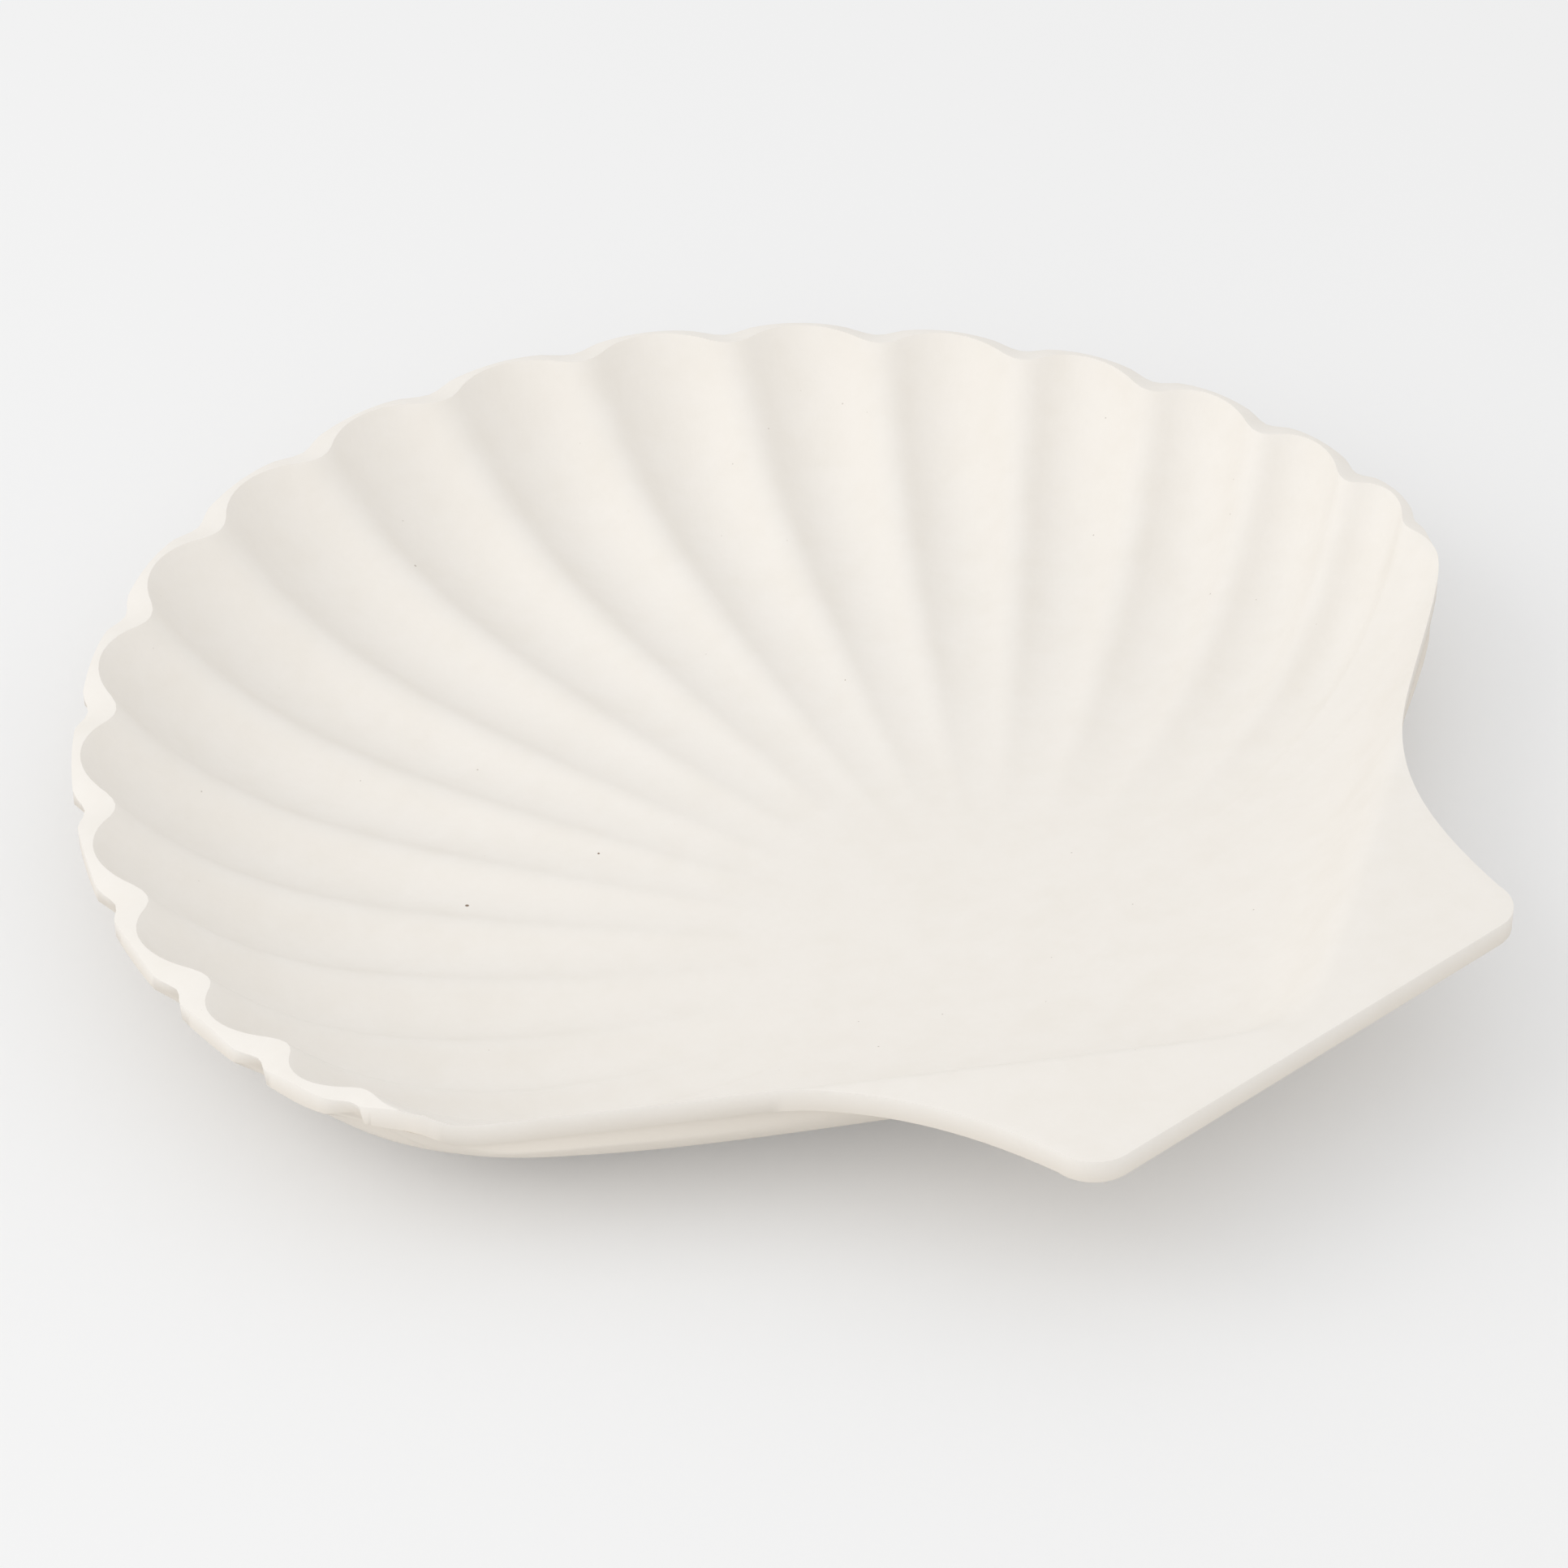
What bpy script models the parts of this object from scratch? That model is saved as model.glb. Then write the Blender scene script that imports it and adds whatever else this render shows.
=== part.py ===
"""A shell shaped platter, made in one piece.

The origin is under the middle of the rim circle, on the plane of the flat foot.
+Z is up, +Y runs from the straight back edge to the far rim, and the left half
mirrors the right half across X = 0. The flutes fan out from a focus that lies
behind the origin, and each point of the dish is found from a column, which is a
place along the outline, and a ring, which is a share of the way to the focus.
"""
import math

import bmesh
import bpy
from mathutils import Matrix, Vector

# Whole dish, in metres
RIM_RADIUS = 0.166          # origin to the tips of the ridges on the rim
BOWL_DEPTH = 0.0322         # rim plane down to the bowl floor
WALL = 0.0056               # thickness of the shell, and height of its cut edge
LIP = 0.0020                # width of the flat lip round the rim, at a channel
LIP_SLOPE = 0.28            # fall of the lip towards its outer edge
EDGE_START = 0.86           # share of the way out where the wall turns upright
EDGE_ROUND = 0.0015         # rounding of the cut edge
BLUNT_ROUND = 0.45          # rounding of the lip's inner arris, against that
RIM_RUN = 0.0289            # run in which the rim wall eases into the floor

# Flutes
FLUTES = 19                 # channels between one corner and the other
FLUTE_DEPTH = 0.0092        # drop from a ridge to a channel at the rim
FOCUS_BACK = 0.057          # origin back to the focus of the flutes
CORNER_ANGLE = math.radians(87.3)    # +Y to the corner, seen from the focus
SIDE_SQUEEZE = math.radians(8.65)    # angle lost by the narrower side flutes
SQUEEZE_POWER = 7.0         # how late towards the side that angle is lost
SIDE_SWEEP = math.radians(25.0)      # backward bend of the side flutes
FLUTE_END = 0.16            # share of the way to the rim where flutes begin
FLUTE_GROWTH = 1.35         # power by which they deepen towards the rim
CREST_START = 0.70          # share of a half flute where its ridge rounds over
CORNER_FLUTE = 0.3          # depth of the corner flute against the others
GROOVE = 0.34               # depth of the grooves underneath, against the flutes
GROOVE_START = 0.6          # share of a half flute where such a groove starts
SIDE_DROP = 0.0022          # rim radius lost at the sides
DROP_START = 0.050          # middle line out to where the radius starts to fall
DROP_END = 0.150            # middle line out to where it has fallen
CORNER_BEFORE = 0.32        # share of the last flute that rounds the corner
CORNER_AFTER = 0.030        # share of the flank that rounds the corner

# Back plate with its two ears
BACK_EDGE = 0.1588          # origin back to the straight edge
EAR_HALF_WIDTH = 0.0675     # middle of the plate to the side of an ear
EAR_RADIUS = 0.010          # rounding of an ear's corner, seen from above
PLATE_RISE = 0.004          # height of the plate above the rim plane
RISE_START = 0.050          # origin back to where the plate starts to rise
FLANK_LEAN = math.radians(52.7)      # lean of the flank at the corner
FLANK_REACH = 0.060         # pull of the flank curve at either end
EAR_LEAN = math.radians(12.0)        # lean of the flank at the ear

# Crease between the back plate and the bowl, a V with a round point
CREASE_BACK = 0.1524        # origin back to the point of the V
CREASE_SLOPE = 0.66         # rise of either leg of the V
CREASE_POINT = 0.010        # rounding of the point of the V
CREASE_ROUND = 0.005        # rounding of the crease itself
CREASE_RUN = 0.009          # run in which the back wall eases into the floor
WALL_MEET = 3.0             # tightness of the corner where rim and back wall meet
FLOOR_RISE = 0.30           # share of the depth lost from the floor to the back
FLOOR_START = 0.020         # origin back to where the floor starts to rise
FLOOR_END = 0.130           # origin back to where it has risen

# Foot, a flat on the lowest part of the underside
FOOT_FLAT = 0.001           # height taken off the belly

# Mesh: columns along the outline and rings towards the focus
HALF_FLUTE = (0.0, 0.45, 0.80, 1.0)
CORNER_COLUMNS = 2
FLANK_COLUMNS = 12
EAR_COLUMNS = 4
BACK_COLUMNS = 7
OUTER_RINGS = (1.0, 0.73, 0.40, 0.0)
INNER_RINGS = (0.96, 0.91, 0.85, 0.775, 0.685, 0.58, 0.46, 0.32, 0.16, 0.0)
WALL_SHARE = 0.93           # farthest start of the inner rings
PLAIN_RING = 0.33           # inside it only every third column is kept
EDGE_SEGMENTS = 2

SIDE = FLUTES / 2.0         # flutes on one side of the middle line
RIM_HEIGHT = BOWL_DEPTH + WALL - FOOT_FLAT
TINY = 1e-6


def ease(low, high, value):
    """Go from 0 at low to 1 at high without a kink."""
    share = min(max((value - low) / (high - low), 0.0), 1.0)
    return share * share * (3.0 - 2.0 * share)


def flute_angle(place):
    """Angle from +Y, at the focus, of a place counted in flutes from the middle."""
    step = (CORNER_ANGLE + SIDE_SQUEEZE) / SIDE
    return step * place - SIDE_SQUEEZE * (place / SIDE) ** SQUEEZE_POWER


def flute_width(place):
    """Width of the flutes at a place, against the middle one."""
    step = (CORNER_ANGLE + SIDE_SQUEEZE) / SIDE
    lost = SQUEEZE_POWER * SIDE_SQUEEZE / SIDE
    return 1.0 - lost * (place / SIDE) ** (SQUEEZE_POWER - 1.0) / step


def channel(place):
    """Depth of the flutes along the outline: 0 on a ridge and 1 between two."""
    share = abs(2.0 * ((SIDE - place) % 1.0) - 1.0)
    if share < CREST_START:
        rise = share ** 2
    else:
        rise = CREST_START - CREST_START / (1.0 - CREST_START) * (1.0 - share) ** 2
    return 1.0 - rise / CREST_START


def flute_drop(place, under):
    """Drop at the rim below the ridges, of the upper surface or of the underside."""
    depth = FLUTE_DEPTH * flute_width(place)
    if under:
        share = abs(2.0 * ((SIDE - place) % 1.0) - 1.0)
        depth *= 1.0 - GROOVE * ease(GROOVE_START, 1.0, share)
        return depth * (1.0 - ease(SIDE - 1.5, SIDE, place))
    depth *= channel(place)
    return depth * CORNER_FLUTE if place > SIDE - 1.0 else depth


def inside_crease(x, y):
    """Distance from the crease, positive on the bowl's side."""
    across = math.hypot(x, CREASE_POINT) - CREASE_POINT
    return (y + CREASE_BACK - CREASE_SLOPE * across) / math.hypot(1.0, CREASE_SLOPE)


def hollow(x, y):
    """Share of the bowl's depth that the back plate allows, 0 on the plate."""
    inside = inside_crease(x, y)
    if inside <= 0.0:
        return 0.0
    if inside < 2.0 * CREASE_ROUND:
        inside = inside ** 2 / (4.0 * CREASE_ROUND)
    else:
        inside = inside - CREASE_ROUND
    return 1.0 - math.exp(-inside / CREASE_RUN)


def ridge_radius(x):
    """Distance of the rim's ridges from the origin, a little less at the sides."""
    return RIM_RADIUS - SIDE_DROP * ease(DROP_START, DROP_END, abs(x))


def base_height(x, y):
    """Height of the dish without its flutes."""
    rise = PLATE_RISE * ease(RISE_START, BACK_EDGE, -y)
    share = 1.0 - math.exp((math.hypot(x, y) - ridge_radius(x)) / RIM_RUN)
    back = hollow(x, y)
    if share > TINY and back > TINY:
        both = share ** -WALL_MEET + back ** -WALL_MEET - 1.0
        share = both ** (-1.0 / WALL_MEET)
    else:
        share = share * back
    depth = BOWL_DEPTH * (1.0 - FLOOR_RISE * ease(FLOOR_START, FLOOR_END, -y))
    return RIM_HEIGHT + rise - depth * share


def base_normal(x, y):
    """Upward normal of the dish without its flutes."""
    step = 0.0002
    along_x = base_height(x + step, y) - base_height(x - step, y)
    along_y = base_height(x, y + step) - base_height(x, y - step)
    if abs(x) < TINY:
        along_x = 0.0
    return Vector((-along_x, -along_y, 2.0 * step)).normalized()


def rim_point(place, under=False):
    """Point of the rim at a place counted in flutes, or of its lip's outer edge."""
    angle = flute_angle(place)
    radius = ridge_radius((RIM_RADIUS + FOCUS_BACK * math.cos(angle)) * math.sin(angle))
    radius += RIM_RUN * math.log(1.0 + flute_drop(place, under) / BOWL_DEPTH)
    if under:
        radius += LIP * (1.0 - ease(SIDE - 1.5, SIDE, place))
    reach = FOCUS_BACK * math.cos(angle)
    reach += math.sqrt(radius ** 2 - (FOCUS_BACK * math.sin(angle)) ** 2)
    return Vector((reach * math.sin(angle), reach * math.cos(angle) - FOCUS_BACK))


def flank_point(share):
    """Point of the concave flank, from the corner at 0 to the ear at 1."""
    corner = rim_point(SIDE)
    ear = Vector((EAR_HALF_WIDTH, EAR_RADIUS - BACK_EDGE))
    first = corner - FLANK_REACH * Vector((math.sin(FLANK_LEAN), math.cos(FLANK_LEAN)))
    second = ear + FLANK_REACH * Vector((math.sin(EAR_LEAN), math.cos(EAR_LEAN)))
    rest = 1.0 - share
    return (corner * rest ** 3 + first * 3.0 * rest ** 2 * share
            + second * 3.0 * rest * share ** 2 + ear * share ** 3)


def rounded(start, corner, end, share):
    """Point of the round that takes off a corner, from its start at 0 to its end."""
    rest = 1.0 - share
    return start * rest ** 2 + corner * 2.0 * rest * share + end * share ** 2


def corner_rim(place, under=False):
    """Point of the rim, with the corner to the flank taken off."""
    share = (place - SIDE + CORNER_BEFORE) / CORNER_BEFORE
    if share <= 0.0:
        return rim_point(place, under)
    return rounded(rim_point(SIDE - CORNER_BEFORE, under), rim_point(SIDE),
                   flank_point(CORNER_AFTER), share / 2.0)


def corner_flank(share):
    """Point of the flank, with the corner to the rim taken off."""
    if share >= CORNER_AFTER:
        return flank_point(share)
    return rounded(rim_point(SIDE - CORNER_BEFORE), rim_point(SIDE),
                   flank_point(CORNER_AFTER), 0.5 + share / CORNER_AFTER / 2.0)


def ear_point(share):
    """Point of an ear's rounded corner, from the flank at 0 to the back edge at 1."""
    turn = share * math.pi / 2.0
    across = EAR_HALF_WIDTH - EAR_RADIUS * (1.0 - math.cos(turn))
    return Vector((across, EAR_RADIUS * (1.0 - math.sin(turn)) - BACK_EDGE))


def back_point(share):
    """Point of the straight back edge, from the ear at 0 to the middle at 1."""
    return Vector(((EAR_HALF_WIDTH - EAR_RADIUS) * (1.0 - share), -BACK_EDGE))


def flute_places():
    """Places of the columns across the flutes, from the middle to the corner."""
    places = set()
    for count in range(FLUTES):
        middle = SIDE - 0.5 - count
        for share in HALF_FLUTE:
            places.add(round(middle + share / 2.0, 6))
            places.add(round(middle - share / 2.0, 6))
    return sorted(place for place in places if -TINY < place <= SIDE)


def outline():
    """Columns of the right half, each an outline point and its place in flutes."""
    columns = [(corner_rim(place), place) for place in flute_places()]
    columns += [(corner_flank(CORNER_AFTER * step / CORNER_COLUMNS), None)
                for step in range(1, CORNER_COLUMNS)]
    columns += [(flank_point(CORNER_AFTER + (1.0 - CORNER_AFTER) * step / FLANK_COLUMNS),
                 None) for step in range(FLANK_COLUMNS + 1)]
    for point, count in ((ear_point, EAR_COLUMNS), (back_point, BACK_COLUMNS)):
        columns += [(point((step + 1) / count), None) for step in range(count)]
    return columns


def plan_point(edge, share):
    """Point on the way from the focus to a point of the outline, seen from above."""
    reach = math.hypot(edge.x, edge.y + FOCUS_BACK)
    angle = math.atan2(edge.x, edge.y + FOCUS_BACK)
    angle += SIDE_SWEEP * math.sin(angle) ** 8 * (1.0 - share)
    return (share * reach * math.sin(angle), share * reach * math.cos(angle) - FOCUS_BACK)


def crease_share(edge):
    """Share of the way to the outline at which a column crosses the crease."""
    low, high = 0.3, 1.0
    if inside_crease(edge.x, edge.y) > 0.0:
        return WALL_SHARE
    for _ in range(40):
        middle = (low + high) / 2.0
        if inside_crease(*plan_point(edge, middle)) > 0.0:
            low = middle
        else:
            high = middle
    return min(low, WALL_SHARE)


def surface_point(edge, place, share, under=False):
    """Point of the upper surface, or of its twin that the underside runs along."""
    x, y = plan_point(edge, share)
    height = base_height(x, y)
    if place is not None and share > FLUTE_END:
        growth = ((share - FLUTE_END) / (1.0 - FLUTE_END)) ** FLUTE_GROWTH
        height -= hollow(x, y) * flute_drop(place, under) * growth
    return Vector((x, y, height))


def lip_points(edge, place):
    """Outer edge of the lip, and the edge of the underside that lies below it."""
    point = surface_point(edge, place, 1.0)
    fall = 0.0
    if place is not None:
        outer = corner_rim(place, True)
        fall = LIP_SLOPE * (outer - edge).length
        point.x, point.y = outer
    return point - Vector((0.0, 0.0, fall)), point - Vector((0.0, 0.0, WALL))


def underside_point(edge, place, share):
    """Point of the underside, on the flat foot where the shell would be lower."""
    if place is not None:
        outer = corner_rim(place, True)
        focus = Vector((0.0, -FOCUS_BACK))
        share *= (edge - focus).length / (outer - focus).length
        edge = outer
    point = surface_point(edge, place, share, True)
    way = base_normal(point.x, point.y).lerp(Vector((0.0, 0.0, 1.0)),
                                             ease(EDGE_START, 1.0, share))
    point -= WALL * way.normalized()
    point.z = max(point.z, 0.0)
    return point


def half_sheet(bm):
    """Lay a grid over the right half of the dish and move it to the upper surface."""
    columns = outline()
    rings = len(OUTER_RINGS) + len(INNER_RINGS)
    width = len(columns) - 1
    place_grid = Matrix.Translation((width / 2.0, rings / 2.0, 0.0))
    place_grid = place_grid @ Matrix.Diagonal((width, rings, 1.0, 1.0))
    bmesh.ops.create_grid(bm, x_segments=width, y_segments=rings, size=0.5,
                          matrix=place_grid)
    kept = [index for index, (_, place) in enumerate(columns)
            if place is None or abs((2.0 * place) % 1.0) < TINY]
    shares = [crease_share(edge) for edge, _ in columns]
    underside = bm.verts.layers.float_vector.new("underside")
    arris = bm.verts.layers.int.new("arris")
    for vert in bm.verts:
        index, ring = round(vert.co.x), round(vert.co.y) - 1
        if ring < len(OUTER_RINGS):
            share = shares[index] + (1.0 - shares[index]) * OUTER_RINGS[ring]
        else:
            share = shares[index] * INNER_RINGS[ring - len(OUTER_RINGS)]
        if share < PLAIN_RING * shares[index] / WALL_SHARE:
            index = min(kept, key=lambda other: abs(other - index))
        edge, place = columns[index]
        vert[arris] = 0 if ring > 0 else 1 if ring == 0 and place is not None else 2
        if ring < 0:
            vert.co, vert[underside] = lip_points(edge, place)
        else:
            vert.co = surface_point(edge, place, share)
            vert[underside] = underside_point(edge, place, share)
        if index in (0, width):
            vert.co.x = 0.0
            vert[underside].x = 0.0
    bmesh.ops.remove_doubles(bm, verts=bm.verts, dist=TINY)


def add_wall(bm):
    """Give the sheet its thickness."""
    underside = bm.verts.layers.float_vector["underside"]
    made = bmesh.ops.extrude_face_region(bm, geom=bm.faces[:])
    for item in made["geom"]:
        if isinstance(item, bmesh.types.BMVert):
            item.co = item[underside]
    inner = [face for face in bm.faces if all(abs(v.co.x) < TINY for v in face.verts)]
    bmesh.ops.delete(bm, geom=inner, context="FACES")
    bmesh.ops.recalc_face_normals(bm, faces=bm.faces)


def mark_edge(bm):
    """Mark the arrises of the lip and of the cut edge for rounding."""
    weight = bm.edges.layers.float.new("bevel_weight_edge")
    arris = bm.verts.layers.int["arris"]
    for edge in bm.edges:
        flat = all(abs(vert.co.x) < TINY for vert in edge.verts)
        if len(edge.link_faces) == 2 and not flat:
            turn = edge.calc_face_angle()
            inner = all(vert[arris] == 1 for vert in edge.verts)
            if inner and turn > math.radians(30.0):
                edge[weight] = BLUNT_ROUND
            elif turn > math.radians(60.0):
                edge[weight] = 1.0


def glazed(name, colour, roughness):
    """Make a plain material."""
    material = bpy.data.materials.new(name)
    material.use_nodes = True
    shader = material.node_tree.nodes["Principled BSDF"]
    shader.inputs["Base Color"].default_value = (*colour, 1.0)
    shader.inputs["Roughness"].default_value = roughness
    shader.inputs["Metallic"].default_value = 0.0
    return material


def build():
    """Build the platter."""
    for old in list(bpy.data.objects):
        bpy.data.objects.remove(old, do_unlink=True)
    group = bpy.data.collections.new("shell_shaped_platter")
    bpy.context.scene.collection.children.link(group)
    bm = bmesh.new()
    half_sheet(bm)
    add_wall(bm)
    mark_edge(bm)
    mesh = bpy.data.meshes.new("shell_platter")
    bm.to_mesh(mesh)
    bm.free()
    platter = bpy.data.objects.new("shell_platter", mesh)
    group.objects.link(platter)
    mesh.materials.append(glazed("off_white_ceramic", (0.80, 0.76, 0.70), 0.6))
    mirror = platter.modifiers.new("left half", "MIRROR")
    mirror.merge_threshold = 0.00001
    mirror.use_clip = True
    bevel = platter.modifiers.new("rounded edge", "BEVEL")
    bevel.width = EDGE_ROUND
    bevel.segments = EDGE_SEGMENTS
    bevel.limit_method = "WEIGHT"
    mesh.shade_smooth()
    mesh.set_sharp_from_angle(angle=math.radians(50.0))


build()
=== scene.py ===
"""Looks of a shell shaped platter, made in one piece of pale matte stoneware.

The dish is laid out as a fine grid over its right half, moved to the upper surface
by the rules of the shell, given its underside, mirrored and rounded along its edge.
+Z is up, +Y runs from the straight back edge to the far rim, and the origin lies
under the middle of the rim circle on the plane of the foot. Lengths are in metres.
"""
import math

import bmesh
import bpy
from mathutils import Matrix, Vector


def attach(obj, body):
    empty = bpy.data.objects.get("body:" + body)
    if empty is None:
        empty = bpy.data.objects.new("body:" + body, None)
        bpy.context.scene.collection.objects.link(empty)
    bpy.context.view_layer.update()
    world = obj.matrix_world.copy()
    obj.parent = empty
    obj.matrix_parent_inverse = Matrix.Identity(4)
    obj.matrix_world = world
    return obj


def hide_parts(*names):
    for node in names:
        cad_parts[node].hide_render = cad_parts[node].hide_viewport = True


bl_info = {
    "name": "Shell shaped platter",
    "version": (1, 0, 0),
    "blender": (4, 5, 0),
    "location": "View3D > Sidebar > Platter",
    "description": "Builds a fluted shell platter and the studio around it",
    "category": "Add Mesh",
}

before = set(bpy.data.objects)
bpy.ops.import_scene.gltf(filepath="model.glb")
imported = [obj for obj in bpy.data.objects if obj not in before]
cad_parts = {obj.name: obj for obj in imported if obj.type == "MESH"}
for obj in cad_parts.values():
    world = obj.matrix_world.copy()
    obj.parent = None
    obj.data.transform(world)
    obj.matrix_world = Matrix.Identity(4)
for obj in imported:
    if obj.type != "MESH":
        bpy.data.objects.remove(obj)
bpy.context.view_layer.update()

FLUTES = 19                 # channels between one corner and the other
SIDE = FLUTES / 2.0         # flutes on one side of the middle line
FOOT_FLAT = 0.001           # height that the foot takes off the belly
TINY = 1e-6                 # lengths below this count as nothing
CORNER_COLUMNS = 4          # steps of the mesh round the corner on the flank's side
FLANK_COLUMNS = 36
EAR_COLUMNS = 12
BACK_COLUMNS = 24           # from an ear's round corner to the middle
OUTER_RINGS = (1.0, 0.86, 0.72, 0.58, 0.44, 0.29, 0.14)     # from outline to crease
RING_CROWDING = 1.15        # above 1 the inner rings crowd towards the crease
THINNED = ((10, 2), (5, 4), (2, 8))     # last rings, and how many columns they join
BLUNT_ROUND = 0.45          # rounding of the inner arris, against the outer ones
BLUNT_TURN = math.radians(30.0)
SHARP_TURN = math.radians(60.0)
# Specks of two sizes: how many a metre, size, share that shows, and strength.
SPECKS = ((58.0, 0.035, 0.6, 1.0), (150.0, 0.045, 0.5, 0.4))
LAMP_SIZE = 1.8
LAMP_DISTANCE = 2.4
LAMP_RISE = 0.62            # how high the lamps stand, against how far to the side
FLOOR_REACH = 8.0
SENSOR = 36.0               # width of the camera's frame in millimetres


def ease(low, high, value):
    """Go from 0 at low to 1 at high without a kink."""
    share = min(max((value - low) / (high - low), 0.0), 1.0)
    return share * share * (3.0 - 2.0 * share)


class PlatterShape(bpy.types.PropertyGroup):
    """Sizes of the dish."""

    rim_radius: bpy.props.FloatProperty(
        name="Rim radius", description="Origin to the tips of the ridges on the rim",
        default=0.166, min=0.05, max=0.4, unit="LENGTH")
    bowl_depth: bpy.props.FloatProperty(
        name="Bowl depth", description="Rim plane down to the bowl floor",
        default=0.0322, min=0.01, max=0.1, unit="LENGTH")
    rim_run: bpy.props.FloatProperty(
        name="Rim run", description="Run in which the rim wall eases into the floor",
        default=0.0289, min=0.005, max=0.1, unit="LENGTH")
    wall: bpy.props.FloatProperty(
        name="Wall", description="Thickness of the floor, the flanks and the plate",
        default=0.0056, min=0.002, max=0.02, unit="LENGTH")
    lip: bpy.props.FloatProperty(
        name="Lip", description="Width of the sloping lip round the rim, at a channel",
        default=0.0020, min=0.0005, max=0.02, unit="LENGTH")
    edge_round: bpy.props.FloatProperty(
        name="Edge rounding", description="Rounding of the cut edge",
        default=0.0015, min=0.0001, max=0.003, unit="LENGTH")
    flute_depth: bpy.props.FloatProperty(
        name="Flute depth", description="Drop from a ridge to a channel at the rim",
        default=0.0092, min=0.0, max=0.03, unit="LENGTH")
    flute_end: bpy.props.FloatProperty(
        name="Flute end", description="Share of the way to the rim where flutes begin",
        default=0.20, min=0.0, max=0.9, subtype="FACTOR")
    columns: bpy.props.IntProperty(
        name="Columns in a flute", description="Steps of the mesh across one flute",
        default=16, min=4, max=32)
    rings: bpy.props.IntProperty(
        name="Rings", description="Steps of the mesh from the focus to the crease",
        default=46, min=10, max=90)


class PlatterFinish(bpy.types.PropertyGroup):
    """Colours and gloss of the stoneware."""

    body: bpy.props.FloatVectorProperty(
        name="Body", description="Colour of the pale matte body",
        default=(0.87, 0.835, 0.785), min=0.0, max=1.0, subtype="COLOR")
    cloud: bpy.props.FloatVectorProperty(
        name="Clouds", description="Slightly darker tone that clouds the body",
        default=(0.850, 0.812, 0.755), min=0.0, max=1.0, subtype="COLOR")
    # Painted shade: the underside, and the cut edge towards its foot, are coloured darker
    # and warmer than the body, standing in for the shade and warm bounce beneath the
    # dish.
    underside_shade: bpy.props.FloatVectorProperty(
        name="Underside", description="Warmer and darker tone of the underside",
        default=(0.77, 0.715, 0.64), min=0.0, max=1.0, subtype="COLOR")
    speck: bpy.props.FloatVectorProperty(
        name="Specks", description="Colour of the few dark iron specks",
        default=(0.22, 0.15, 0.10), min=0.0, max=1.0, subtype="COLOR")
    roughness: bpy.props.FloatProperty(
        name="Roughness", description="Roughness of the unglazed skin",
        default=0.62, min=0.0, max=1.0, subtype="FACTOR")


class PlatterStudio(bpy.types.PropertyGroup):
    """Camera, floor and light."""

    azimuth: bpy.props.FloatProperty(
        name="Azimuth", description="Turn of the camera about the dish",
        default=math.radians(-41.507), subtype="ANGLE", unit="ROTATION")
    elevation: bpy.props.FloatProperty(
        name="Elevation", description="Height of the camera above the horizon",
        default=math.radians(37.077), subtype="ANGLE", unit="ROTATION")
    distance: bpy.props.FloatProperty(
        name="Distance", description="Camera to the plane through the rim's middle",
        default=1.2224, min=0.2, unit="LENGTH")
    lens: bpy.props.FloatProperty(
        name="Lens", description="Focal length in millimetres on a 36 mm frame",
        default=121.118, min=10.0, subtype="DISTANCE_CAMERA")
    aside: bpy.props.FloatVectorProperty(
        name="Framing", description="How far the frame's middle lies left and below",
        size=2, default=(0.008963, 0.014636), unit="LENGTH")
    floor: bpy.props.FloatVectorProperty(
        name="Floor", description="Colour of the floor and the background",
        default=(0.88, 0.88, 0.88), min=0.0, max=1.0, subtype="COLOR")
    lit_floor: bpy.props.FloatVectorProperty(
        name="Lit floor", description="Tone of the floor in full light",
        default=(0.90, 0.90, 0.90), min=0.0, max=1.0, subtype="COLOR")
    lift: bpy.props.FloatProperty(
        name="Shadow lift", description="Share of the lit tone laid over the floor",
        default=0.17, min=0.0, max=1.0, subtype="FACTOR")
    sky: bpy.props.FloatProperty(
        name="Surround", description="Strength of the even light from all round",
        default=0.86, min=0.0, max=3.0)
    key: bpy.props.FloatProperty(
        name="Key lamp", description="Power of the large soft lamp on the left",
        default=12.0, min=0.0, max=200.0, unit="POWER")
    front: bpy.props.FloatProperty(
        name="Front lamp", description="Power of the soft lamp at the front",
        default=5.0, min=0.0, max=200.0, unit="POWER")


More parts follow.
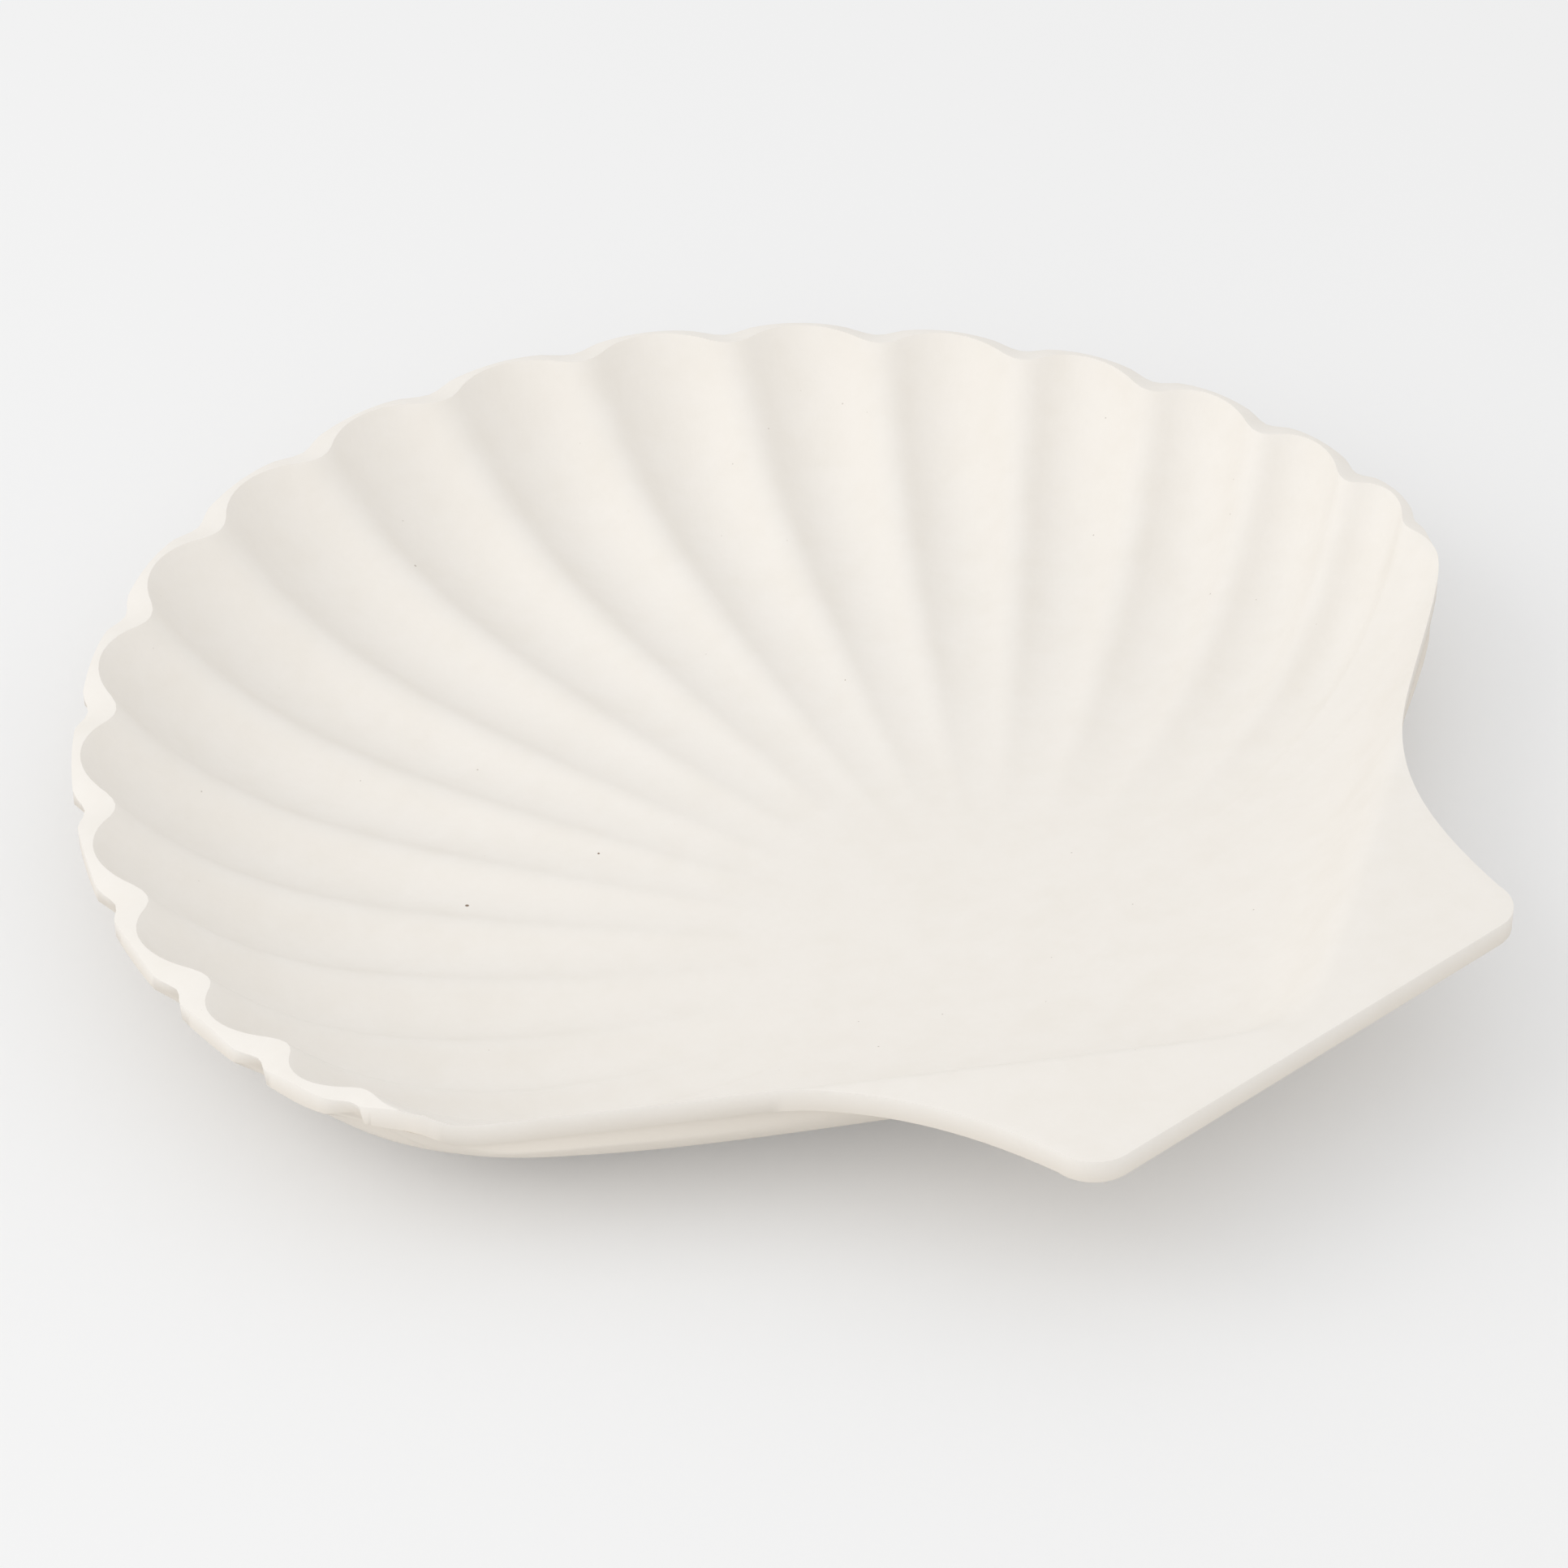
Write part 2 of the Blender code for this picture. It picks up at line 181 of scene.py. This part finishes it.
class ShellRules:
    """Rules that give the height and the outline of the shell."""

    focus_back = 0.057          # origin back to the focus of the flutes
    corner_angle = math.radians(87.3)
    side_squeeze = math.radians(8.65)
    squeeze_power = 7.0
    side_sweep = math.radians(25.0)     # bend of the side flutes on the way in
    sweep_power = 8
    side_drop = 0.0022          # rim radius lost at the sides
    drop_start, drop_end = 0.050, 0.150
    corner_before = 0.32        # share of the last flute that rounds the corner
    corner_after = 0.030        # share of the flank that rounds the corner
    flute_growth = 1.7
    crest_start = 0.70          # share of a half flute where its ridge rounds over
    corner_flute = 0.3
    groove = 0.34               # grooves underneath, against the flutes
    groove_start = 0.6
    notch_full = 0.95           # share of a half flute from which a notch is whole
    lip_fade = 1.5              # flutes before the corner where lip and grooves fade
    notch = 0.0035              # how far the cut edge leans in under a ridge
    lip_slope = 0.28            # fall of the lip towards its outer edge
    edge_start = 0.86           # share of the way out where the wall turns upright
    back_edge = 0.1588
    ear_half_width = 0.0675
    ear_radius = 0.010
    plate_rise = 0.004
    rise_start = 0.050
    flank_lean = math.radians(52.7)
    flank_reach = 0.060
    ear_lean = math.radians(12.0)
    crease_back = 0.1524
    crease_slope = 0.66
    crease_point = 0.010
    crease_round = 0.005
    crease_run = 0.009
    wall_meet = 3.0
    floor_rise = 0.30
    floor_start, floor_end = 0.020, 0.130
    wall_share = 0.93           # farthest start of the inner rings
    crease_low = 0.3            # share of the way out that is inside the crease
    halvings = 40
    slope_step = 0.0002

    def __init__(self, shape):
        self.rim_radius = shape.rim_radius
        self.bowl_depth = shape.bowl_depth
        self.rim_run = shape.rim_run
        self.wall = shape.wall
        self.lip = shape.lip
        self.flute_depth = shape.flute_depth
        self.flute_end = shape.flute_end
        self.rim_height = shape.bowl_depth + shape.wall - FOOT_FLAT
        self.step = (self.corner_angle + self.side_squeeze) / SIDE

    def flute_angle(self, place):
        """Angle from +Y, at the focus, of a place counted in flutes."""
        lost = self.side_squeeze * (place / SIDE) ** self.squeeze_power
        return self.step * place - lost

    def flute_width(self, place):
        """Width of the flutes at a place, against the middle one."""
        lost = self.squeeze_power * self.side_squeeze / SIDE
        return 1.0 - lost * (place / SIDE) ** (self.squeeze_power - 1.0) / self.step

    @staticmethod
    def flute_share(place):
        """Share of a half flute from its middle, 0, to its ridge, 1."""
        return abs(2.0 * ((SIDE - place) % 1.0) - 1.0)

    def channel(self, place):
        """Depth of the flutes along the outline: 0 on a ridge, 1 between two."""
        share = self.flute_share(place)
        start = self.crest_start
        if share < start:
            rise = share ** 2
        else:
            rise = start - start / (1.0 - start) * (1.0 - share) ** 2
        return 1.0 - rise / start

    def flute_drop(self, place, under):
        """Drop at the rim below the ridges, of the upper surface or underneath."""
        depth = self.flute_depth * self.flute_width(place)
        if under:
            share = self.flute_share(place)
            depth *= 1.0 - self.groove * ease(self.groove_start, 1.0, share)
            return depth * (1.0 - ease(SIDE - self.lip_fade, SIDE, place))
        depth *= self.channel(place)
        return depth * self.corner_flute if place > SIDE - 1.0 else depth

    def inside_crease(self, x, y):
        """Distance from the crease, positive on the bowl's side."""
        across = math.hypot(x, self.crease_point) - self.crease_point
        reach = y + self.crease_back - self.crease_slope * across
        return reach / math.hypot(1.0, self.crease_slope)

    def hollow(self, x, y):
        """Share of the bowl's depth that the back wall allows, 0 on the plate."""
        inside = self.inside_crease(x, y)
        if inside <= 0.0:
            return 0.0
        if inside < 2.0 * self.crease_round:
            inside = inside ** 2 / (4.0 * self.crease_round)
        else:
            inside = inside - self.crease_round
        return 1.0 - math.exp(-inside / self.crease_run)

    def ridge_radius(self, x):
        """Distance of the ridges from the origin, a little less at the sides."""
        drop = ease(self.drop_start, self.drop_end, abs(x))
        return self.rim_radius - self.side_drop * drop

    def base_height(self, x, y):
        """Height of the dish without its flutes."""
        rise = self.plate_rise * ease(self.rise_start, self.back_edge, -y)
        reach = math.hypot(x, y) - self.ridge_radius(x)
        share = 1.0 - math.exp(reach / self.rim_run)
        back = self.hollow(x, y)
        if share > TINY and back > TINY:
            both = share ** -self.wall_meet + back ** -self.wall_meet - 1.0
            share = both ** (-1.0 / self.wall_meet)
        else:
            share = share * back
        shallow = self.floor_rise * ease(self.floor_start, self.floor_end, -y)
        return self.rim_height + rise - self.bowl_depth * (1.0 - shallow) * share

    def base_normal(self, x, y):
        """Upward normal of the dish without its flutes."""
        step = self.slope_step
        along_x = self.base_height(x + step, y) - self.base_height(x - step, y)
        along_y = self.base_height(x, y + step) - self.base_height(x, y - step)
        if abs(x) < TINY:
            along_x = 0.0
        return Vector((-along_x, -along_y, 2.0 * step)).normalized()

    def rim_point(self, place, under=False):
        """Point of the rim at a place in flutes, or of its lip's outer edge."""
        angle = self.flute_angle(place)
        reach = self.rim_radius + self.focus_back * math.cos(angle)
        radius = self.ridge_radius(reach * math.sin(angle))
        drop = self.flute_drop(place, under)
        radius += self.rim_run * math.log(1.0 + drop / self.bowl_depth)
        if under:
            radius += self.lip * (1.0 - ease(SIDE - self.lip_fade, SIDE, place))
        reach = self.focus_back * math.cos(angle)
        reach += math.sqrt(radius ** 2 - (self.focus_back * math.sin(angle)) ** 2)
        return Vector((reach * math.sin(angle),
                       reach * math.cos(angle) - self.focus_back))

    def flank_point(self, share):
        """Point of the concave flank, from the corner at 0 to the ear at 1."""
        corner = self.rim_point(SIDE)
        ear = Vector((self.ear_half_width, self.ear_radius - self.back_edge))
        lean, pull = self.flank_lean, self.flank_reach
        first = corner - pull * Vector((math.sin(lean), math.cos(lean)))
        lean = self.ear_lean
        second = ear + pull * Vector((math.sin(lean), math.cos(lean)))
        rest = 1.0 - share
        return (corner * rest ** 3 + first * 3.0 * rest ** 2 * share
                + second * 3.0 * rest * share ** 2 + ear * share ** 3)

    @staticmethod
    def rounded(start, corner, end, share):
        """Point of the round that takes off a corner."""
        rest = 1.0 - share
        return start * rest ** 2 + corner * 2.0 * rest * share + end * share ** 2

    def corner_rim(self, place, under=False):
        """Point of the rim, with the corner to the flank taken off."""
        share = (place - SIDE + self.corner_before) / self.corner_before
        if share <= 0.0:
            return self.rim_point(place, under)
        return self.rounded(self.rim_point(SIDE - self.corner_before, under),
                            self.rim_point(SIDE), self.flank_point(self.corner_after),
                            share / 2.0)

    def corner_flank(self, share):
        """Point of the flank, with the corner to the rim taken off."""
        if share >= self.corner_after:
            return self.flank_point(share)
        return self.rounded(self.rim_point(SIDE - self.corner_before),
                            self.rim_point(SIDE), self.flank_point(self.corner_after),
                            0.5 + share / self.corner_after / 2.0)

    def ear_point(self, share):
        """Point of an ear's round corner, from the flank to the back edge."""
        turn = share * math.pi / 2.0
        across = self.ear_half_width - self.ear_radius * (1.0 - math.cos(turn))
        return Vector((across, self.ear_radius * (1.0 - math.sin(turn)) - self.back_edge))

    def back_point(self, share):
        """Point of the straight back edge, from the ear at 0 to the middle at 1."""
        return Vector(((self.ear_half_width - self.ear_radius) * (1.0 - share),
                       -self.back_edge))

    def plan_point(self, edge, share):
        """Point on the way from the focus to the outline, seen from above."""
        reach = math.hypot(edge.x, edge.y + self.focus_back)
        angle = math.atan2(edge.x, edge.y + self.focus_back)
        angle += self.side_sweep * math.sin(angle) ** self.sweep_power * (1.0 - share)
        return (share * reach * math.sin(angle),
                share * reach * math.cos(angle) - self.focus_back)

    def crease_share(self, edge):
        """Share of the way to the outline at which a column crosses the crease."""
        if self.inside_crease(edge.x, edge.y) > 0.0:
            return self.wall_share
        low, high = self.crease_low, 1.0
        for _ in range(self.halvings):
            middle = (low + high) / 2.0
            if self.inside_crease(*self.plan_point(edge, middle)) > 0.0:
                low = middle
            else:
                high = middle
        return min(low, self.wall_share)

    def surface_point(self, edge, place, share, under=False):
        """Point of the upper surface, or of its twin that the underside follows."""
        x, y = self.plan_point(edge, share)
        height = self.base_height(x, y)
        if place is not None and share > self.flute_end:
            growth = ((share - self.flute_end) / (1.0 - self.flute_end))
            growth = growth ** self.flute_growth
            height -= self.hollow(x, y) * self.flute_drop(place, under) * growth
        return Vector((x, y, height))

    def lip_points(self, edge, place):
        """Outer edge of the lip, and the edge of the underside that lies below it."""
        point = self.surface_point(edge, place, 1.0)
        below = point - Vector((0.0, 0.0, self.wall))
        if place is not None:
            outer = self.corner_rim(place, True)
            point.z -= self.lip_slope * (outer - edge).length
            point.x, point.y = outer
            share = self.flute_share(place)
            cut = self.notch * ease(self.groove_start, self.notch_full, share)
            cut *= 1.0 - ease(SIDE - self.lip_fade, SIDE, place)
            inward = Vector((-outer.x, -self.focus_back - outer.y)).normalized()
            below.x, below.y = outer + cut * inward
        return point, below

    def underside_point(self, edge, place, share):
        """Point of the underside, on the foot where the shell would be lower."""
        if place is not None:
            outer = self.corner_rim(place, True)
            focus = Vector((0.0, -self.focus_back))
            share *= (edge - focus).length / (outer - focus).length
            edge = outer
        point = self.surface_point(edge, place, share, True)
        upright = ease(self.edge_start, 1.0, share)
        way = self.base_normal(point.x, point.y).lerp(Vector((0.0, 0.0, 1.0)), upright)
        point -= self.wall * way.normalized()
        point.z = max(point.z, 0.0)
        return point


def outline(rules, columns):
    """Columns of the right half, each an outline point and its place in flutes."""
    count = round(SIDE * columns)
    places = [SIDE * step / count for step in range(count + 1)]
    made = [(rules.corner_rim(place), place) for place in places]
    after = rules.corner_after
    made += [(rules.corner_flank(after * step / CORNER_COLUMNS), None)
             for step in range(1, CORNER_COLUMNS)]
    made += [(rules.flank_point(after + (1.0 - after) * step / FLANK_COLUMNS), None)
             for step in range(FLANK_COLUMNS + 1)]
    for point, steps in ((rules.ear_point, EAR_COLUMNS),
                         (rules.back_point, BACK_COLUMNS)):
        made += [(point((step + 1) / steps), None) for step in range(steps)]
    return made


def ring_shares(start, inner):
    """Shares of the way to the outline, from the outline to the focus."""
    shares = [start + (1.0 - start) * share for share in OUTER_RINGS]
    for ring in range(inner + 1):
        shares.append(start * (1.0 - (ring / inner) ** RING_CROWDING))
    return shares


def half_dish(bm, rules, shape):
    """Lay a grid over the right half of the dish and move it to the upper surface."""
    columns = outline(rules, shape.columns)
    shares = [ring_shares(rules.crease_share(edge), shape.rings)
              for edge, _ in columns]
    rings = len(shares[0])
    width = len(columns) - 1
    place_grid = Matrix.Translation((width / 2.0, rings / 2.0, 0.0))
    place_grid = place_grid @ Matrix.Diagonal((width, rings, 1.0, 1.0))
    bmesh.ops.create_grid(bm, x_segments=width, y_segments=rings, size=0.5,
                          matrix=place_grid)
    underside = bm.verts.layers.float_vector.new("underside")
    arris = bm.verts.layers.int.new("arris")
    for vert in bm.verts:
        index, ring = round(vert.co.x), round(vert.co.y) - 1
        for last, every in THINNED:
            if ring >= rings - 1 - last and index < width:
                index = min(every * round(index / every), width)
        edge, place = columns[index]
        vert[arris] = 0 if ring > 0 else 1 if ring == 0 and place is not None else 2
        if ring < 0:
            vert.co, vert[underside] = rules.lip_points(edge, place)
        else:
            vert.co = rules.surface_point(edge, place, shares[index][ring])
            vert[underside] = rules.underside_point(edge, place, shares[index][ring])
        if index in (0, width):
            vert.co.x = 0.0
            vert[underside].x = 0.0
    bmesh.ops.remove_doubles(bm, verts=bm.verts, dist=TINY)


def add_underside(bm):
    """Give the sheet its thickness, and mark the underside for the painted shade."""
    underside = bm.verts.layers.float_vector["underside"]
    below = bm.verts.layers.float.new("below")
    made = bmesh.ops.extrude_face_region(bm, geom=bm.faces[:])
    for item in made["geom"]:
        if isinstance(item, bmesh.types.BMVert):
            item.co = item[underside]
            # 1 on the underside for the painted shade; the cut edge between the arrises
            # blends from 0 at its top to 1 at its foot, so it is painted darker
            # downwards.
            item[below] = 1.0
    inner = [face for face in bm.faces if all(abs(v.co.x) < TINY for v in face.verts)]
    bmesh.ops.delete(bm, geom=inner, context="FACES")


def mark_arrises(bm):
    """Weigh the arrises of the lip and of the cut edge for rounding."""
    weight = bm.edges.layers.float.new("bevel_weight_edge")
    arris = bm.verts.layers.int["arris"]
    for edge in bm.edges:
        if len(edge.link_faces) == 2:
            turn = edge.calc_face_angle()
            inner = all(vert[arris] == 1 for vert in edge.verts)
            if inner and turn > BLUNT_TURN:
                edge[weight] = BLUNT_ROUND
            elif turn > SHARP_TURN:
                edge[weight] = 1.0


def node(tree, kind, **values):
    """Add a node with the given input values."""
    made = tree.nodes.new(kind)
    for name, value in values.items():
        made.inputs[name].default_value = value
    return made


def speck_group():
    """Node group that scatters small dark specks of one size through the clay."""
    group = bpy.data.node_groups.new("clay_specks", "ShaderNodeTree")
    face = group.interface
    face.new_socket("Vector", in_out="INPUT", socket_type="NodeSocketVector")
    for name, value in (("Per Metre", 60.0), ("Size", 0.03), ("Share", 0.5)):
        socket = face.new_socket(name, in_out="INPUT", socket_type="NodeSocketFloat")
        socket.default_value = value
    face.new_socket("Mask", in_out="OUTPUT", socket_type="NodeSocketFloat")
    start = group.nodes.new("NodeGroupInput")
    end = group.nodes.new("NodeGroupOutput")
    cells = node(group, "ShaderNodeTexVoronoi", Randomness=1.0)
    chance = group.nodes.new("ShaderNodeSeparateColor")
    size = group.nodes.new("ShaderNodeMath")
    size.operation = "MULTIPLY"
    fade = group.nodes.new("ShaderNodeMapRange")
    fade.inputs["To Min"].default_value = 1.0
    fade.inputs["To Max"].default_value = 0.0
    edge = group.nodes.new("ShaderNodeMath")
    edge.operation = "MULTIPLY"
    edge.inputs[1].default_value = 0.55
    picked = group.nodes.new("ShaderNodeMath")
    picked.operation = "LESS_THAN"
    mask = group.nodes.new("ShaderNodeMath")
    mask.operation = "MULTIPLY"
    link = group.links.new
    link(start.outputs["Vector"], cells.inputs["Vector"])
    link(start.outputs["Per Metre"], cells.inputs["Scale"])
    link(cells.outputs["Color"], chance.inputs["Color"])
    link(chance.outputs["Green"], size.inputs[0])
    link(start.outputs["Size"], size.inputs[1])
    link(size.outputs[0], edge.inputs[0])
    link(cells.outputs["Distance"], fade.inputs["Value"])
    link(edge.outputs[0], fade.inputs["From Min"])
    link(size.outputs[0], fade.inputs["From Max"])
    link(chance.outputs["Red"], picked.inputs[0])
    link(start.outputs["Share"], picked.inputs[1])
    link(fade.outputs["Result"], mask.inputs[0])
    link(picked.outputs[0], mask.inputs[1])
    link(mask.outputs[0], end.inputs["Mask"])
    return group


def stoneware(finish):
    """Pale matte clay, softly clouded, with a few dark specks, and painted shade on the
    underside.
    """
    material = bpy.data.materials.new("pale_matte_stoneware")
    material.use_nodes = True
    tree = material.node_tree
    link = tree.links.new
    shader = tree.nodes["Principled BSDF"]
    shader.inputs["Specular IOR Level"].default_value = 0.35
    place = tree.nodes.new("ShaderNodeTexCoord").outputs["Object"]
    clouds = node(tree, "ShaderNodeTexNoise", Scale=90.0, Detail=4.0, Roughness=0.6)
    grain = node(tree, "ShaderNodeTexNoise", Scale=420.0, Detail=3.0, Roughness=0.6)
    link(place, clouds.inputs["Vector"])
    link(place, grain.inputs["Vector"])
    tone = node(tree, "ShaderNodeMapRange")
    tone.inputs["From Min"].default_value = 0.35
    tone.inputs["From Max"].default_value = 0.70
    link(clouds.outputs["Fac"], tone.inputs["Value"])
    fine = node(tree, "ShaderNodeMapRange")
    fine.inputs["From Min"].default_value = 0.35
    fine.inputs["From Max"].default_value = 0.75
    fine.inputs["To Max"].default_value = 0.5
    link(grain.outputs["Fac"], fine.inputs["Value"])
    both = tree.nodes.new("ShaderNodeMath")
    both.operation = "MAXIMUM"
    link(tone.outputs["Result"], both.inputs[0])
    link(fine.outputs["Result"], both.inputs[1])
    body = tree.nodes.new("ShaderNodeMix")
    body.data_type = "RGBA"
    body.inputs["A"].default_value = (*finish.body, 1.0)
    body.inputs["B"].default_value = (*finish.cloud, 1.0)
    link(both.outputs[0], body.inputs["Factor"])
    # Painted shade: where the below attribute is 1, on the underside and at the foot of
    # the cut edge, the body is mixed to the darker, warmer underside tone.
    below = tree.nodes.new("ShaderNodeAttribute")
    below.attribute_name = "below"
    skin = tree.nodes.new("ShaderNodeMix")
    skin.data_type = "RGBA"
    skin.inputs["B"].default_value = (*finish.underside_shade, 1.0)
    link(below.outputs["Fac"], skin.inputs["Factor"])
    link(body.outputs["Result"], skin.inputs["A"])
    group = speck_group()
    most = tree.nodes.new("ShaderNodeMath")
    most.operation = "MAXIMUM"
    for index, (per_metre, size, share, strength) in enumerate(SPECKS):
        specks = tree.nodes.new("ShaderNodeGroup")
        specks.node_tree = group
        for name, value in (("Per Metre", per_metre), ("Size", size), ("Share", share)):
            specks.inputs[name].default_value = value
        faint = tree.nodes.new("ShaderNodeMath")
        faint.operation = "MULTIPLY"
        faint.inputs[1].default_value = strength
        link(place, specks.inputs["Vector"])
        link(specks.outputs["Mask"], faint.inputs[0])
        link(faint.outputs[0], most.inputs[index])
    speckled = tree.nodes.new("ShaderNodeMix")
    speckled.data_type = "RGBA"
    speckled.inputs["B"].default_value = (*finish.speck, 1.0)
    link(most.outputs[0], speckled.inputs["Factor"])
    link(skin.outputs["Result"], speckled.inputs["A"])
    link(speckled.outputs["Result"], shader.inputs["Base Color"])
    gloss = node(tree, "ShaderNodeMapRange")
    gloss.inputs["To Min"].default_value = finish.roughness - 0.05
    gloss.inputs["To Max"].default_value = finish.roughness + 0.05
    link(clouds.outputs["Fac"], gloss.inputs["Value"])
    link(gloss.outputs["Result"], shader.inputs["Roughness"])
    bump = node(tree, "ShaderNodeBump", Strength=0.25, Distance=0.00015)
    link(grain.outputs["Fac"], bump.inputs["Height"])
    link(bump.outputs["Normal"], shader.inputs["Normal"])
    return material


class PLATTER_OT_dish(bpy.types.Operator):
    """Build the dish in one piece"""

    bl_idname = "platter.dish"
    bl_label = "Build the dish"

    def execute(self, context):
        """Model the dish, give it its stoneware and set it in the frame."""
        shape = context.scene.platter_shape
        rules = ShellRules(shape)
        bm = bmesh.new()
        half_dish(bm, rules, shape)
        add_underside(bm)
        bmesh.ops.mirror(bm, geom=bm.verts[:] + bm.edges[:] + bm.faces[:], axis="X",
                         merge_dist=0.00001)
        bmesh.ops.remove_doubles(bm, verts=bm.verts, dist=TINY)
        bmesh.ops.recalc_face_normals(bm, faces=bm.faces)
        mark_arrises(bm)
        mesh = bpy.data.meshes.new("shell_dish")
        bm.to_mesh(mesh)
        bm.free()
        for name in ("underside", "arris"):
            mesh.attributes.remove(mesh.attributes[name])
        mesh.shade_smooth()
        dish = bpy.data.objects.new("shell_dish", mesh)
        context.scene.collection.objects.link(dish)
        rounding = dish.modifiers.new("rounded edge", "BEVEL")
        rounding.width = shape.edge_round
        rounding.segments = 4
        rounding.limit_method = "WEIGHT"
        mesh.materials.append(stoneware(context.scene.platter_finish))
        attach(dish, "root")
        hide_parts("shell_platter")
        return {"FINISHED"}


def plain_floor(studio):
    """Pale matt floor, whose shadows look a little lifted to the camera."""
    material = bpy.data.materials.new("pale_floor")
    material.use_nodes = True
    tree = material.node_tree
    link = tree.links.new
    shader = tree.nodes["Principled BSDF"]
    shader.inputs["Base Color"].default_value = (*studio.floor, 1.0)
    shader.inputs["Roughness"].default_value = 0.9
    shader.inputs["Specular IOR Level"].default_value = 0.0
    glow = node(tree, "ShaderNodeEmission", Color=(*studio.lit_floor, 1.0))
    path = tree.nodes.new("ShaderNodeLightPath")
    share = node(tree, "ShaderNodeMath")
    share.operation = "MULTIPLY"
    share.inputs[1].default_value = studio.lift
    mix = tree.nodes.new("ShaderNodeMixShader")
    link(path.outputs["Is Camera Ray"], share.inputs[0])
    link(share.outputs[0], mix.inputs["Fac"])
    link(shader.outputs["BSDF"], mix.inputs[1])
    link(glow.outputs["Emission"], mix.inputs[2])
    link(mix.outputs["Shader"], tree.nodes["Material Output"].inputs["Surface"])
    return material


def surround(scene, studio):
    """Even light from all round, and the same pale tone wherever it is seen."""
    world = bpy.data.worlds.new("surround")
    world.use_nodes = True
    scene.world = world
    tree = world.node_tree
    link = tree.links.new
    light = tree.nodes["Background"]
    light.inputs["Color"].default_value = (1.0, 1.0, 1.0, 1.0)
    light.inputs["Strength"].default_value = studio.sky
    seen = tree.nodes.new("ShaderNodeBackground")
    seen.inputs["Color"].default_value = (*studio.floor, 1.0)
    seen.inputs["Strength"].default_value = 1.0
    path = tree.nodes.new("ShaderNodeLightPath")
    mix = tree.nodes.new("ShaderNodeMixShader")
    link(path.outputs["Is Camera Ray"], mix.inputs["Fac"])
    link(light.outputs["Background"], mix.inputs[1])
    link(seen.outputs["Background"], mix.inputs[2])
    link(mix.outputs["Shader"], tree.nodes["World Output"].inputs["Surface"])


def soft_lamp(scene, name, power, towards):
    """Large soft lamp that shines on the dish from the given direction."""
    lamp = bpy.data.lights.new(name, "AREA")
    lamp.shape = "SQUARE"
    lamp.size = LAMP_SIZE
    lamp.energy = power
    made = bpy.data.objects.new(name, lamp)
    scene.collection.objects.link(made)
    made.location = LAMP_DISTANCE * towards.normalized()
    made.rotation_euler = towards.to_track_quat("Z", "Y").to_euler()


class PLATTER_OT_studio(bpy.types.Operator):
    """Set the floor, the light and the camera"""

    bl_idname = "platter.studio"
    bl_label = "Set the studio"

    def execute(self, context):
        """Make the floor, the surround, the lamps and the camera."""
        scene = context.scene
        studio = scene.platter_studio
        scene.view_settings.view_transform = "Standard"
        surround(scene, studio)
        bm = bmesh.new()
        bmesh.ops.create_grid(bm, x_segments=4, y_segments=4,
                              size=FLOOR_REACH)
        mesh = bpy.data.meshes.new("floor")
        bm.to_mesh(mesh)
        bm.free()
        floor = bpy.data.objects.new("floor", mesh)
        scene.collection.objects.link(floor)
        mesh.materials.append(plain_floor(studio))
        azimuth, elevation = studio.azimuth, studio.elevation
        right = Vector((math.cos(azimuth), math.sin(azimuth), 0.0))
        back = Vector((math.sin(azimuth) * math.cos(elevation),
                       -math.cos(azimuth) * math.cos(elevation), math.sin(elevation)))
        up = back.cross(right)
        ahead = Vector((-back.x, -back.y, 0.0)).normalized()
        shape = scene.platter_shape
        middle = Vector((0.0, 0.0, shape.bowl_depth + shape.wall - FOOT_FLAT))
        middle -= studio.aside[0] * right + studio.aside[1] * up
        view = bpy.data.cameras.new("photo_view")
        view.lens = studio.lens
        view.sensor_width = SENSOR
        camera = bpy.data.objects.new("photo_view", view)
        scene.collection.objects.link(camera)
        camera.location = middle + studio.distance * back
        camera.rotation_euler = Matrix((right, up, back)).transposed().to_euler()
        scene.camera = camera
        high = Vector((0.0, 0.0, LAMP_RISE))
        soft_lamp(scene, "key_lamp", studio.key, high - 0.85 * right - 0.15 * ahead)
        soft_lamp(scene, "front_lamp", studio.front, high - 0.15 * right - 0.80 * ahead)
        return {"FINISHED"}


class PLATTER_PT_panel(bpy.types.Panel):
    """Sizes, finish and studio of the platter."""

    bl_idname = "PLATTER_PT_panel"
    bl_label = "Shell platter"
    bl_space_type = "VIEW_3D"
    bl_region_type = "UI"
    bl_category = "Platter"

    def draw(self, context):
        """List the settings and the operators."""
        scene = context.scene
        for group in (scene.platter_shape, scene.platter_finish, scene.platter_studio):
            box = self.layout.box()
            for name in group.bl_rna.properties.keys():
                if name not in ("rna_type", "name"):
                    box.prop(group, name)
        self.layout.operator("platter.dish")
        self.layout.operator("platter.studio")


CLASSES = (PlatterShape, PlatterFinish, PlatterStudio, PLATTER_OT_dish,
           PLATTER_OT_studio, PLATTER_PT_panel)
SETTINGS = {"platter_shape": PlatterShape, "platter_finish": PlatterFinish,
            "platter_studio": PlatterStudio}


def register():
    """Register the classes and hang the settings on the scene."""
    for made in CLASSES:
        bpy.utils.register_class(made)
    for name, group in SETTINGS.items():
        setattr(bpy.types.Scene, name, bpy.props.PointerProperty(type=group))


def unregister():
    """Take the settings and the classes away again."""
    for name in SETTINGS:
        delattr(bpy.types.Scene, name)
    for made in reversed(CLASSES):
        bpy.utils.unregister_class(made)


def main():
    """Build the dish and the studio."""
    register()
    bpy.ops.platter.dish()
    bpy.ops.platter.studio()


if __name__ == "__main__":
    main()
